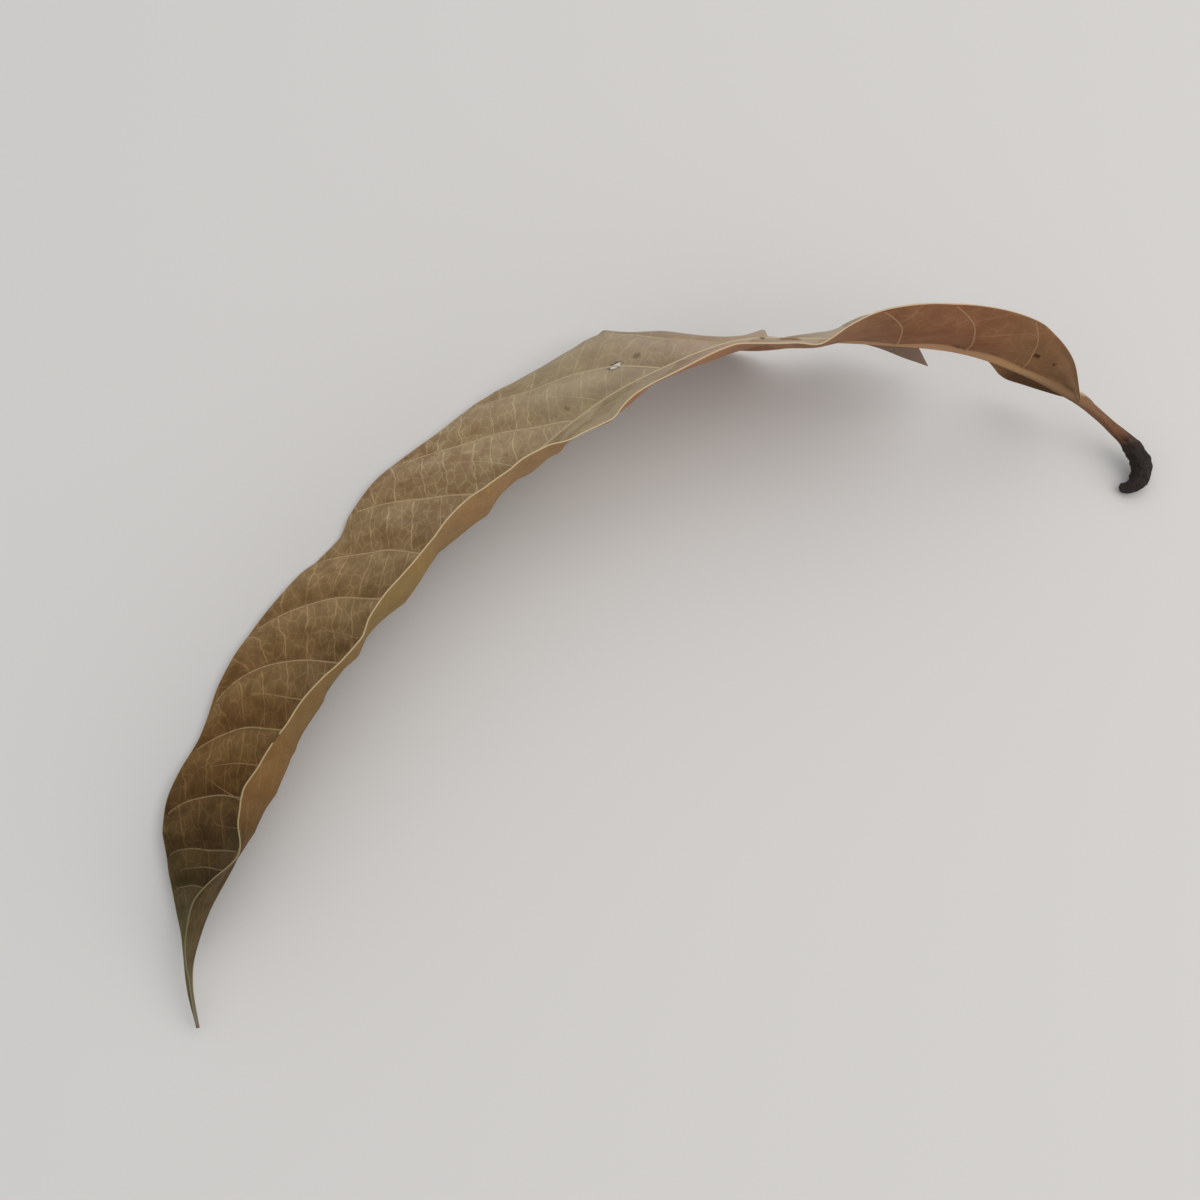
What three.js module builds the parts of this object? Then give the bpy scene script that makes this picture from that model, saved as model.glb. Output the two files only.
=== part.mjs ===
// A dried mango leaf, folded along its midrib, twisted and arched, lying on one margin.
// Millimetres, +Z up, +X along the longest extent, origin under the middle of the leaf.
import * as THREE from 'three';

// Driving sizes
const BLADE_THICKNESS = 0.4;
const MIDRIB_HEIGHT_AT_BASE = 1.8;
const MIDRIB_HEIGHT_AT_TIP = 0.2;
const MIDRIB_SPREAD = 1.0;
const MIDRIB_TAPER = 1.2;
const LEAST_CURL = 0.001;
const JOIN_GAP = 0.3;
const ROWS_ALONG_BLADE = 100;
const STALK_SIDES = 12;
const STALK_RINGS = 26;

// The midrib from the base of the blade to the drip tip: x, y, z of each station,
// then, in degrees, the lean at the midrib and the curl out to the margin
// of the low half and of the standing half
const STATIONS = [
  [80.5, 50.0, 12.0, -60, -20, 80, -20],
  [70.5, 54.0, 15.0, -48, -50, 95, -50],
  [56.5, 57.0, 18.5, -35, -74, 117, -60],
  [41.0, 57.5, 20.5, -19, -78, 128, -50],
  [25.5, 58.5, 20.0, -30, -64, 141, -30],
  [12.5, 59.0, 18.0, -33, -60, 147, -40],
  [-1.5, 54.5, 15.0, 18, -112, 148, -46],
  [-13.0, 49.0, 12.0, 10, -58, 143, -36],
  [-24.5, 40.0, 9.5, -4, -30, 145, -58],
  [-35.5, 30.0, 8.0, -8, -20, 143, -68],
  [-46.5, 17.0, 6.5, -8, -12, 141, -66],
  [-53.0, 8.0, 6.0, -8, -10, 139, -66],
  [-60.5, -3.5, 5.5, -7, -10, 136, -60],
  [-69.5, -18.5, 5.0, -5, -10, 135, -66],
  [-74.5, -31.0, 5.0, -3, -10, 132, -72],
  [-77.5, -41.0, 5.0, -4, -10, 130, -60],
  [-81.5, -50.0, 4.5, -8, -10, 124, -70],
  [-83.5, -57.5, 3.5, 0, 0, 115, -50],
  [-83.5, -63.0, 2.5, 20, 0, 100, -20],
  [-82.0, -69.5, 1.5, 20, 0, 100, -20],
];

// Half-widths as share of the way from base to tip and millimetres.
// The low half is torn out between 0.05 and 0.118.
const LOW_WIDTHS = [
  [0, 0.6], [0.02, 5.5], [0.035, 8], [0.05, 8.6], [0.062, 6.4], [0.074, 2.2], [0.09, 1.2],
  [0.11, 1.2], [0.114, 12.5], [0.118, 15.2], [0.13, 16], [0.22, 18.2], [0.26, 19.4], [0.3, 20.8],
  [0.34, 20.6], [0.38, 21.4], [0.4, 19.9], [0.42, 19.5], [0.44, 19.9], [0.46, 20.7], [0.48, 21.5], [0.51, 21], [0.56, 21.9], [0.6, 21], [0.62, 19.3],
  [0.64, 19.7], [0.66, 20.5], [0.7, 20.7], [0.73, 20.4], [0.76, 19.3], [0.8, 17], [0.82, 17.1],
  [0.84, 17], [0.86, 16], [0.88, 14.4], [0.9, 11.1], [0.92, 6.4], [0.94, 2.8], [0.96, 1.2],
  [1, 0.3],
];
const STANDING_WIDTHS = [
  [0, 0.6], [0.025, 7.3], [0.05, 11], [0.062, 12.4], [0.09, 14.1], [0.117, 15.3], [0.16, 17.2],
  [0.22, 18.5], [0.4, 21], [0.56, 20.5], [0.7, 19], [0.77, 17.8], [0.83, 16], [0.86, 14.5],
  [0.885, 11.5], [0.91, 8.2], [0.95, 3.2], [1, 0.3],
];
const TEAR_ROWS = [0.062, 0.074, 0.1095, 0.112, 0.1145, 0.118];
const TEAR_ROW_ROOM = 0.002;

// Waves of the dry blade as share of the way and rise in millimetres: of the low margin,
// of the standing margin, and of the standing half's middle
const LOW_MARGIN_RISES = [
  [0, 0], [0.2, 0], [0.34, 0.8], [0.38, 1.2], [0.4, -0.6], [0.42, -1.4], [0.44, -1.1],
  [0.46, -0.3], [0.51, -0.1], [0.56, 0.6], [0.6, -0.2], [0.62, -1], [0.64, -0.8], [0.66, -0.2],
  [0.7, 0.1], [0.73, 0.3], [0.76, 0.1], [0.8, -0.8], [0.82, -0.4], [0.84, -0.1], [0.86, -0.2],
  [0.9, 0.5], [0.92, 0], [1, 0],
];
const STANDING_MARGIN_RISES = [
  [0, 0], [0.13, 0], [0.18, -0.8], [0.2, 0.2], [0.22, 1.7], [0.24, -0.2], [0.28, -0.9],
  [0.3, -1.2], [0.34, -0.7], [0.38, -0.6], [0.4, -0.2], [0.44, 0.8], [0.46, 1.1], [0.48, 0.1],
  [0.5, 0.1], [0.52, 0.6], [0.54, 0.1], [0.56, -1.1], [0.58, -1.2], [0.6, -0.8], [0.63, -0.1],
  [0.66, -0.5], [0.68, -0.2], [0.7, 1.1], [0.72, 0.8], [0.74, -0.2], [0.76, -0.4], [0.79, 0],
  [0.82, 0.1], [0.84, -0.9], [0.86, -0.5], [0.88, 2], [0.9, 0.3], [0.92, -1.6], [0.94, -1.4],
  [0.97, 0], [1, 0],
];
const STANDING_MIDDLE_RISES = [
  [0, 0], [0.22, 0], [0.26, -0.4], [0.28, -0.2], [0.33, -0.5], [0.355, -0.4], [0.38, 0],
  [0.4, 0], [0.42, -0.5], [0.45, -1.8], [0.47, -0.4], [0.485, -0.3], [0.51, -1.1],
  [0.53, -0.2], [0.545, 0.4], [0.56, 0.1], [0.575, -0.6], [0.593, -1.5], [0.61, -0.9],
  [0.63, -0.1], [0.645, -0.2], [0.685, -1.6], [0.705, -1.1], [0.732, -1.4], [0.75, -0.6],
  [0.78, -0.2], [0.81, 0.8], [0.826, 0.9], [0.841, 0.7], [0.857, 0], [0.887, -1.2],
  [0.905, -0.7], [0.925, 0], [1, 0],
];
const FLAT = [[0, 0], [1, 0]];
const HALVES = [
  { widths: LOW_WIDTHS, marginRises: LOW_MARGIN_RISES, middleRises: FLAT },
  { widths: STANDING_WIDTHS, marginRises: STANDING_MARGIN_RISES, middleRises: STANDING_MIDDLE_RISES },
];

// Places across each half from the midrib to the margin
const ACROSS = [0, 0.05, 0.1, 0.24, 0.42, 0.61, 0.8, 1];

// The stalk from the blade to its swollen, hooked end: x, y, z and radius
const STALK_STATIONS = [
  [82.6, 48.2, 10.8, 1.25],
  [85.6, 46.6, 9.2, 1.15],
  [88.4, 44.9, 7.5, 1.15],
  [90.6, 43.7, 6.0, 1.45],
  [92.4, 42.6, 4.6, 1.95],
  [93.5, 41.0, 3.3, 2.15],
  [93.7, 39.2, 2.5, 2.1],
  [93.2, 37.5, 2.1, 1.95],
  [92.0, 36.2, 1.8, 1.7],
  [90.6, 35.9, 1.5, 1.4],
  [89.7, 36.2, 1.35, 1.05],
];
const STALK_RADIUS_AT_BLADE = 1.3;
const STALK_STEP = 0.001;

// A smooth curve of plain numbers through a column of the stations
function blend(values, t) {
  const last = values.length - 1;
  const place = THREE.MathUtils.clamp(t, 0, 1) * last;
  const i = Math.min(Math.floor(place), last - 1);
  const f = place - i;
  const before = i > 0 ? values[i - 1] : 2 * values[0] - values[1];
  const after = i < last - 1 ? values[i + 2] : 2 * values[last] - values[last - 1];
  const a = (values[i + 1] - before) / 2;
  const b = (after - values[i]) / 2;
  const rise = values[i] - values[i + 1];
  return (2 * rise + a + b) * f ** 3 - (3 * rise + 2 * a + b) * f ** 2 + a * f + values[i];
}

// The value of a table at s, rising and falling only where the table does
function valueAt(table, s) {
  const at = table.map((row) => row[0]);
  const value = table.map((row) => row[1]);
  const slope = at.slice(1).map((x, k) => (value[k + 1] - value[k]) / (x - at[k]));
  const lean = at.map((x, k) => {
    if (k === 0) return slope[0];
    if (k === at.length - 1) return slope[k - 1];
    const product = slope[k - 1] * slope[k];
    return product <= 0 ? 0 : (2 * product) / (slope[k - 1] + slope[k]);
  });
  let i = 0;
  while (i < at.length - 2 && s > at[i + 1]) i += 1;
  const run = at[i + 1] - at[i];
  const f = (s - at[i]) / run;
  return (2 * f ** 3 - 3 * f ** 2 + 1) * value[i] + (f ** 3 - 2 * f ** 2 + f) * run * lean[i]
    + (3 * f ** 2 - 2 * f ** 3) * value[i + 1] + (f ** 3 - f ** 2) * run * lean[i + 1];
}

// Where a share s of the midrib's length lies among the stations
const stationColumn = (k) => STATIONS.map((row) => row[k]);
const [midribX, midribY, midribZ] = [0, 1, 2].map(stationColumn);
const midribPoint = (t) => new THREE.Vector3(blend(midribX, t), blend(midribY, t), blend(midribZ, t));
const FINE_STEPS = 2000;
const SMALL_STEP = 0.0001;
const lengths = [0];
for (let k = 1; k <= FINE_STEPS; k += 1) {
  const step = midribPoint(k / FINE_STEPS).distanceTo(midribPoint((k - 1) / FINE_STEPS));
  lengths.push(lengths[k - 1] + step);
}
function stationAt(s) {
  const target = s * lengths[FINE_STEPS];
  let k = 1;
  while (k < FINE_STEPS && lengths[k] < target) k += 1;
  return (k - 1 + (target - lengths[k - 1]) / (lengths[k] - lengths[k - 1])) / FINE_STEPS;
}

// The midrib's own frame: along it to the tip, level out to the low half, and up
function midribFrame(s) {
  const t = stationAt(s);
  const step = SMALL_STEP;
  const ahead = midribPoint(Math.min(t + step, 1));
  const along = ahead.sub(midribPoint(Math.max(t - step, 0))).normalize();
  const out = new THREE.Vector3(along.y, -along.x, 0).normalize();
  const up = new THREE.Vector3().crossVectors(out, along);
  return { t, point: midribPoint(t), along, out, up };
}

// One point of a half at share q of its width, with the direction its upper face looks
function halfPoint(frame, s, half, q) {
  const lean = THREE.MathUtils.degToRad(blend(stationColumn(3 + 2 * half), frame.t));
  const bend = THREE.MathUtils.degToRad(blend(stationColumn(4 + 2 * half), frame.t));
  const curl = Math.abs(bend) < LEAST_CURL ? LEAST_CURL : bend;
  const { widths, marginRises, middleRises } = HALVES[half];
  const width = valueAt(widths, s);
  const rise = valueAt(marginRises, s) * q * q + valueAt(middleRises, s) * Math.sin(Math.PI * q);
  const angle = lean + curl * q;
  const sideways = (width / curl) * (Math.sin(angle) - Math.sin(lean)) - rise * Math.sin(angle);
  const upward = (width / curl) * (Math.cos(lean) - Math.cos(angle)) + rise * Math.cos(angle);
  const point = frame.point.clone().addScaledVector(frame.out, sideways).addScaledVector(frame.up, upward);
  const turn = half === 0 ? 1 : -1;
  const face = new THREE.Vector3().addScaledVector(frame.out, -turn * Math.sin(angle));
  face.addScaledVector(frame.up, turn * Math.cos(angle));
  return { point, face, reach: width * q };
}

function midribHeight(s) {
  return MIDRIB_HEIGHT_AT_TIP + (MIDRIB_HEIGHT_AT_BASE - MIDRIB_HEIGHT_AT_TIP) * (1 - s) ** MIDRIB_TAPER;
}

// One row across the blade, from the low margin over the midrib to the standing margin,
// as points of the upper and the lower face
function bladeRow(s) {
  const frame = midribFrame(s);
  const low = ACROSS.map((q) => halfPoint(frame, s, 0, q));
  const standing = ACROSS.map((q) => halfPoint(frame, s, 1, q));
  const middle = { point: frame.point, face: low[0].face.clone().add(standing[0].face).normalize(), reach: 0 };
  const section = [...low.slice(1).reverse(), middle, ...standing.slice(1)];
  const upper = [];
  const lower = [];
  section.forEach(({ point, face, reach }) => {
    const ridge = midribHeight(s) * Math.exp(-((reach / MIDRIB_SPREAD) ** 2));
    upper.push(point.clone().addScaledVector(face, BLADE_THICKNESS / 2));
    lower.push(point.clone().addScaledVector(face, -BLADE_THICKNESS / 2 - ridge));
  });
  return { upper, lower };
}

// A closed sheet between an upper and a lower grid of points
function closedSheet(rows) {
  const columns = rows[0].upper.length;
  const positions = [];
  rows.forEach((row) => row.upper.forEach((p) => positions.push(p.x, p.y, p.z)));
  rows.forEach((row) => row.lower.forEach((p) => positions.push(p.x, p.y, p.z)));
  const top = (i, j) => i * columns + j;
  const under = (i, j) => (rows.length + i) * columns + j;
  const index = [];
  const quad = (a, b, c, d) => index.push(a, b, c, a, c, d);
  const lastRow = rows.length - 1;
  const lastColumn = columns - 1;
  for (let i = 0; i < lastRow; i += 1) {
    for (let j = 0; j < lastColumn; j += 1) {
      quad(top(i, j), top(i + 1, j), top(i + 1, j + 1), top(i, j + 1));
      quad(under(i, j), under(i, j + 1), under(i + 1, j + 1), under(i + 1, j));
    }
    quad(top(i, 0), under(i, 0), under(i + 1, 0), top(i + 1, 0));
    quad(top(i, lastColumn), top(i + 1, lastColumn), under(i + 1, lastColumn), under(i, lastColumn));
  }
  for (let j = 0; j < lastColumn; j += 1) {
    quad(top(0, j), top(0, j + 1), under(0, j + 1), under(0, j));
    quad(top(lastRow, j), under(lastRow, j), under(lastRow, j + 1), top(lastRow, j + 1));
  }
  const geometry = new THREE.BufferGeometry();
  geometry.setAttribute('position', new THREE.Float32BufferAttribute(positions, 3));
  geometry.setIndex(index);
  geometry.computeVertexNormals();
  return geometry;
}

function bladeGeometry() {
  const evenRows = Array.from({ length: ROWS_ALONG_BLADE + 1 }, (_, k) => k / ROWS_ALONG_BLADE);
  const spread = evenRows.filter((s) => TEAR_ROWS.every((tear) => Math.abs(s - tear) > TEAR_ROW_ROOM));
  const places = [...spread, ...TEAR_ROWS].sort((a, b) => a - b);
  return closedSheet(places.map(bladeRow));
}

// A round stalk of changing thickness, closed at both ends
function stalkGeometry() {
  const base = midribFrame(0);
  const facing = halfPoint(base, 0, 0, 0).face.add(halfPoint(base, 0, 1, 0).face).normalize();
  const start = base.point.clone().addScaledVector(base.along, -JOIN_GAP);
  start.addScaledVector(facing, -MIDRIB_HEIGHT_AT_BASE / 2);
  const stations = [[start.x, start.y, start.z, STALK_RADIUS_AT_BLADE], ...STALK_STATIONS];
  const column = (k) => stations.map((row) => row[k]);
  const centre = (t) => new THREE.Vector3(blend(column(0), t), blend(column(1), t), blend(column(2), t));
  const positions = [];
  const index = [];
  const side = new THREE.Vector3(0, 0, 1);
  for (let i = 0; i <= STALK_RINGS; i += 1) {
    const t = i / STALK_RINGS;
    const middle = centre(t);
    const along = centre(Math.min(t + STALK_STEP, 1)).sub(centre(Math.max(t - STALK_STEP, 0))).normalize();
    if (i === 0) along.copy(base.along).negate();
    side.addScaledVector(along, -side.dot(along)).normalize();
    const across = new THREE.Vector3().crossVectors(along, side);
    const radius = blend(column(3), t);
    for (let j = 0; j < STALK_SIDES; j += 1) {
      const angle = (2 * Math.PI * j) / STALK_SIDES;
      const p = middle.clone().addScaledVector(side, radius * Math.cos(angle));
      p.addScaledVector(across, radius * Math.sin(angle));
      positions.push(p.x, p.y, p.z);
    }
  }
  for (let i = 0; i < STALK_RINGS; i += 1) {
    for (let j = 0; j < STALK_SIDES; j += 1) {
      const next = (j + 1) % STALK_SIDES;
      const [a, b] = [i * STALK_SIDES + j, i * STALK_SIDES + next];
      const [c, d] = [b + STALK_SIDES, a + STALK_SIDES];
      index.push(a, b, c, a, c, d);
    }
  }
  const end = STALK_RINGS * STALK_SIDES;
  for (let j = 1; j < STALK_SIDES - 1; j += 1) {
    index.push(0, j + 1, j);
    index.push(end, end + j, end + j + 1);
  }
  const geometry = new THREE.BufferGeometry();
  geometry.setAttribute('position', new THREE.Float32BufferAttribute(positions, 3));
  geometry.setIndex(index);
  geometry.computeVertexNormals();
  return geometry;
}

const dryBlade = new THREE.MeshStandardMaterial({ color: 0x7d6944, roughness: 0.62, metalness: 0 });
const dryStalk = new THREE.MeshStandardMaterial({ color: 0x4a342a, roughness: 0.7, metalness: 0 });

const blade = new THREE.Mesh(bladeGeometry(), dryBlade);
blade.name = 'blade';
const stalk = new THREE.Mesh(stalkGeometry(), dryStalk);
stalk.name = 'stalk';

const leaf = new THREE.Group();
leaf.name = 'dried_mango_leaf';
leaf.add(blade, stalk);

// Set down with its lowest point on the surface and its middle over the origin
const box = new THREE.Box3().setFromObject(leaf);
const middle = box.getCenter(new THREE.Vector3());
leaf.position.set(-middle.x, -middle.y, -box.min.z);
leaf.updateMatrixWorld(true);

export default leaf;
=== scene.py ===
# %% [markdown]
# # A dried mango leaf
# One fallen leaf, dry and stiff. While it dried it folded along its midrib, turned over once near
# the stalk and bowed, so it now lies on the margin of one half while the other half stands up.
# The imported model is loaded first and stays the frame: every piece below is made in its
# coordinates. Sizes are written in millimetres and become metres when a mesh is made.

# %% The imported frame
import math

import bpy
import numpy as np
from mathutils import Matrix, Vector


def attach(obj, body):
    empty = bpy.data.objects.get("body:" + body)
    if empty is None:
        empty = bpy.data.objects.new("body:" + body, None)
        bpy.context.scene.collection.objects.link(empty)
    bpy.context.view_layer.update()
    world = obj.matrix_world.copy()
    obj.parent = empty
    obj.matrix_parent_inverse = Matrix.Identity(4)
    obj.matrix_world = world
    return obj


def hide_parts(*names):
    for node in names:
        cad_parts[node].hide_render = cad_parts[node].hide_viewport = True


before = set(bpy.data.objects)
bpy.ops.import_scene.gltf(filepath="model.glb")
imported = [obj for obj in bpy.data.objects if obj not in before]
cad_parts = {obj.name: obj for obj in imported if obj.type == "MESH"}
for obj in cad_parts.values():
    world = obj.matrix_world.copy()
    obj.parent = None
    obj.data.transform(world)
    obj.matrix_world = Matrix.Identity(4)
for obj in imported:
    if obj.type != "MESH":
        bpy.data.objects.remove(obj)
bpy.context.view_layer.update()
MM = 0.001

# %% [markdown]
# ## The camera
# The leaf is seen from the front and well above, with its stalk at the right. A camera could be
# turned by hand until it looks right. Here it is set by what was measured: the point it looks at,
# its distance, its height above the horizon and its angle of view.

# %% Camera
VIEW_ANGLE = 38.0
CAMERA_DISTANCE = 334.0
CAMERA_ELEVATION = 65.0
LOOKS_AT = Vector((-15.1, 11.68, 0.85)) * MM

elevation = math.radians(CAMERA_ELEVATION)
towards_camera = Vector((0.0, -math.cos(elevation), math.sin(elevation)))
lens = bpy.data.cameras.new("front_view")
lens.angle = math.radians(VIEW_ANGLE)
lens.clip_start = 0.01
camera = bpy.data.objects.new("front_view", lens)
camera.location = LOOKS_AT + towards_camera * CAMERA_DISTANCE * MM
camera.rotation_euler = (-towards_camera).to_track_quat("-Z", "Y").to_euler()
bpy.context.scene.collection.objects.link(camera)
bpy.context.scene.camera = camera
print("camera at", [round(v, 4) for v in camera.location])

# %% [markdown]
# ## The form of the leaf
# A leaf is a thin sheet grown along a midrib, so its form follows a rule: a curve for the midrib,
# and at each place along it two half-widths that lean and curl. The rule could be a lattice or a
# sculpted mesh. Written as a formula it gives the blade, the veins and the colours one shared
# map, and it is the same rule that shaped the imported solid, with the finer forms added.
#
# The table below has one row per station from the blade's base to its drip tip: the midrib's
# x, y and z, then in degrees the lean at the midrib and the curl out to the margin of the low
# half and of the standing half.

# %% Stations along the midrib
STATIONS = np.array([
    (80.5, 50.0, 12.0, -60, -20, 80, -20),
    (70.5, 54.0, 15.0, -48, -50, 95, -50),
    (56.5, 57.0, 18.5, -35, -74, 117, -60),
    (41.0, 57.5, 20.5, -19, -78, 128, -50),
    (25.5, 58.5, 20.0, -30, -64, 141, -30),
    (12.5, 59.0, 18.0, -33, -60, 147, -40),
    (-1.5, 54.5, 15.0, 18, -112, 148, -46),
    (-13.0, 49.0, 12.0, 10, -58, 143, -36),
    (-24.5, 40.0, 9.5, -4, -30, 145, -58),
    (-35.5, 30.0, 8.0, -8, -20, 143, -68),
    (-46.5, 17.0, 6.5, -8, -12, 141, -66),
    (-53.0, 8.0, 6.0, -8, -10, 139, -66),
    (-60.5, -3.5, 5.5, -7, -10, 136, -60),
    (-69.5, -18.5, 5.0, -5, -10, 135, -66),
    (-74.5, -31.0, 5.0, -3, -10, 132, -72),
    (-77.5, -41.0, 5.0, -4, -10, 130, -60),
    (-81.5, -50.0, 4.5, -8, -10, 124, -70),
    (-83.5, -57.5, 3.5, 0, 0, 115, -50),
    (-83.5, -63.0, 2.5, 20, 0, 100, -20),
    (-82.0, -69.5, 1.5, 20, 0, 100, -20),
])
SET_DOWN = np.array((-2.1, -0.12, -0.15))


def through(values, t):
    """A smooth curve through evenly spaced rows of numbers, at the shares t from 0 to 1."""
    last = len(values) - 1
    ends = (2 * values[:1] - values[1:2], 2 * values[-1:] - values[-2:-1])
    padded = np.vstack((ends[0], values, ends[1]))
    place = np.clip(t, 0, 1) * last
    i = np.minimum(place.astype(int), last - 1)
    f = (place - i)[:, None]
    before, here, there, after = (padded[i + k] for k in range(4))
    a = (there - before) / 2
    b = (after - here) / 2
    rise = here - there
    return (2 * rise + a + b) * f**3 - (3 * rise + 2 * a + b) * f**2 + a * f + here


FINE_STEPS = 4000
fine_t = np.linspace(0, 1, FINE_STEPS + 1)
fine_midrib = through(STATIONS[:, :3], fine_t)
fine_length = np.append(0, np.cumsum(np.linalg.norm(np.diff(fine_midrib, axis=0), axis=1)))
BLADE_LENGTH = fine_length[-1]


def station_at(s):
    """Where a share s of the midrib's length lies among the stations."""
    return np.interp(np.asarray(s, float) * BLADE_LENGTH, fine_length, fine_t)


print("midrib length in mm:", round(BLADE_LENGTH, 1))

# %% [markdown]
# The half-widths come from two more tables: the share of the way from base to tip, and the width
# in millimetres. The low half is torn out near the stalk, between 0.05 and 0.145. A curve that
# only rises and falls where the table does keeps the outline free of false waves.

# %% Half-widths
LOW_WIDTHS = np.array((
    (0, 0.6), (0.005, 1.9), (0.01, 3.9), (0.02, 6.4), (0.03, 7.9), (0.04, 8.4), (0.05, 8.6),
    (0.06, 7.2), (0.07, 4.4), (0.08, 1.8), (0.09, 0.7), (0.142, 0.7), (0.145, 16.3), (0.15, 16.2),
    (0.16, 17.1), (0.22, 18), (0.23, 17.5), (0.24, 16.5), (0.25, 16.4), (0.26, 17.1), (0.27, 18.1),
    (0.28, 19.4), (0.3, 20.8), (0.34, 20.6), (0.38, 21.1), (0.4, 19.9), (0.42, 19.5), (0.44, 19.9),
    (0.46, 20.7), (0.48, 21.5), (0.51, 21), (0.56, 21.9), (0.6, 21), (0.62, 19.3), (0.64, 19.7),
    (0.66, 20.5), (0.7, 20.7), (0.73, 20.4), (0.76, 19.3), (0.8, 17), (0.82, 17.1), (0.84, 17),
    (0.86, 16), (0.88, 14.4), (0.9, 11.1), (0.92, 6.4), (0.94, 2.8), (0.96, 1.2), (1, 0.3),
))
STANDING_WIDTHS = np.array((
    (0, 0.6), (0.025, 7.3), (0.05, 11), (0.062, 12.4), (0.09, 14.1), (0.117, 15.3), (0.16, 17.2),
    (0.22, 18.5), (0.4, 21), (0.56, 20.5), (0.7, 19), (0.77, 17.8), (0.83, 16), (0.86, 14.5),
    (0.885, 11.5), (0.91, 8.2), (0.95, 3.2), (1, 0.3),
))
TEAR_START, TEAR_END = 0.05, 0.145
LOW, STANDING = 0, 1
HALF_WIDTHS = (LOW_WIDTHS, STANDING_WIDTHS)


def value_at(table, s):
    """The value of a table of shares and numbers at the shares s."""
    at, value = table[:, 0], table[:, 1]
    slope = np.diff(value) / np.diff(at)
    product = slope[:-1] * slope[1:]
    total = np.where(product > 0, slope[:-1] + slope[1:], 1.0)
    inner = np.where(product > 0, 2 * product / total, 0.0)
    lean = np.concatenate((slope[:1], inner, slope[-1:]))
    i = np.clip(np.searchsorted(at, s) - 1, 0, len(at) - 2)
    run = at[i + 1] - at[i]
    f = (s - at[i]) / run
    start = (2 * f**3 - 3 * f**2 + 1) * value[i] + (f**3 - 2 * f**2 + f) * run * lean[i]
    end = (3 * f**2 - 2 * f**3) * value[i + 1] + (f**3 - f**2) * run * lean[i + 1]
    return start + end


print("widest halves in mm:", [table[:, 1].max() for table in HALF_WIDTHS])

# %% [markdown]
# A drying blade shrinks unevenly and goes wavy. The waves are tables too, because they are not
# regular: how far the margin and the middle of each half move out of the even curl, in
# millimetres. The two close rows near 0.265 are the sharp jag where the low half creased.

# %% Waves
LOW_MARGIN_RISES = np.array((
    (0, 0), (0.2, 0), (0.3, 0.3), (0.32, 1), (0.34, 1.7), (0.36, 1.7), (0.372, 1.9), (0.376, 2),
    (0.381, 0.9), (0.39, 0.1), (0.4, -0.7), (0.42, -1.4), (0.44, -1.1), (0.46, -0.3), (0.51, -0.1),
    (0.56, 0.6), (0.6, -0.2), (0.62, -1), (0.64, -0.8), (0.66, -0.2), (0.7, 0.1), (0.73, 0.3),
    (0.76, 0.1), (0.8, -0.8), (0.82, -0.4), (0.84, -0.1), (0.86, -0.2), (0.9, 0.5), (0.92, 0), (1, 0),
))
STANDING_MARGIN_RISES = np.array((
    (0, 0), (0.13, 0), (0.18, -0.8), (0.2, 0.2), (0.22, 1.7), (0.24, -0.2), (0.28, -0.9),
    (0.3, -1.2), (0.34, -0.7), (0.38, -0.6), (0.4, -0.2), (0.42, 0.8), (0.44, 0.8), (0.46, 1.1),
    (0.48, 0.1), (0.5, 0.1), (0.52, 0.6), (0.54, 0.1), (0.56, -1.1), (0.58, -1.2), (0.6, -0.8),
    (0.63, -0.1), (0.66, -0.5), (0.68, -0.2), (0.7, 1.1), (0.72, 0.8), (0.74, -0.2), (0.76, -0.4),
    (0.79, 0), (0.82, 0.1), (0.84, -0.9), (0.86, -0.5), (0.88, 2), (0.9, 0.3), (0.92, -1.6),
    (0.94, -1.4), (0.97, 0), (1, 0),
))
STANDING_MIDDLE_RISES = np.array((
    (0, 0), (0.22, 0), (0.26, -0.4), (0.28, -0.2), (0.33, -1), (0.355, -1), (0.38, -0.4),
    (0.4, 0), (0.42, -0.5), (0.45, -1.8), (0.47, -0.4), (0.485, -0.3), (0.51, -1.1), (0.53, -0.2),
    (0.545, 0.4), (0.56, 0.1), (0.575, -0.6), (0.593, -1.5), (0.61, -0.9), (0.63, -0.1),
    (0.645, -0.2), (0.685, -1.6), (0.705, -1.1), (0.732, -1.4), (0.75, -0.6), (0.78, -0.2),
    (0.81, 0.8), (0.826, 0.9), (0.841, 0.7), (0.857, 0), (0.887, -1.2), (0.905, -0.7), (0.925, 0),
    (1, 0),
))
LOW_MIDDLE_RISES = np.array((
    (0, 0), (0.145, 0), (0.175, 2), (0.195, 1), (0.215, -1), (0.235, -1.6), (0.2645, -1.3),
    (0.267, 0.6), (0.273, 0), (0.283, -1), (0.297, -1.3), (0.31, -1.2), (0.325, -1.4), (0.345, -1.9),
    (0.36, -1.6), (0.375, -1), (0.385, -0.3), (0.42, 0), (1, 0),
))
RISES = ((LOW_MARGIN_RISES, LOW_MIDDLE_RISES), (STANDING_MARGIN_RISES, STANDING_MIDDLE_RISES))
print("largest wave in mm:", max(np.abs(table[:, 1]).max() for pair in RISES for table in pair))

# %% [markdown]
# Secondary veins leave the midrib every 10 to 20 mm, closer near the tip, and sweep towards the
# tip, with weaker ones between them that fade on the way. They come before the blade, because the
# dry blade puffs up between them: each long vein lies in a valley. A row gives the vein's foot on
# the midrib and how far towards the tip it runs until the margin, both in millimetres, then three
# shares: how much of that run is left for the last stretch, how far across the half the vein
# reaches, and its strength. The row that runs backwards is a crack in the skin. No vein is quite
# even, so each wavers a little on its way.

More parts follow.
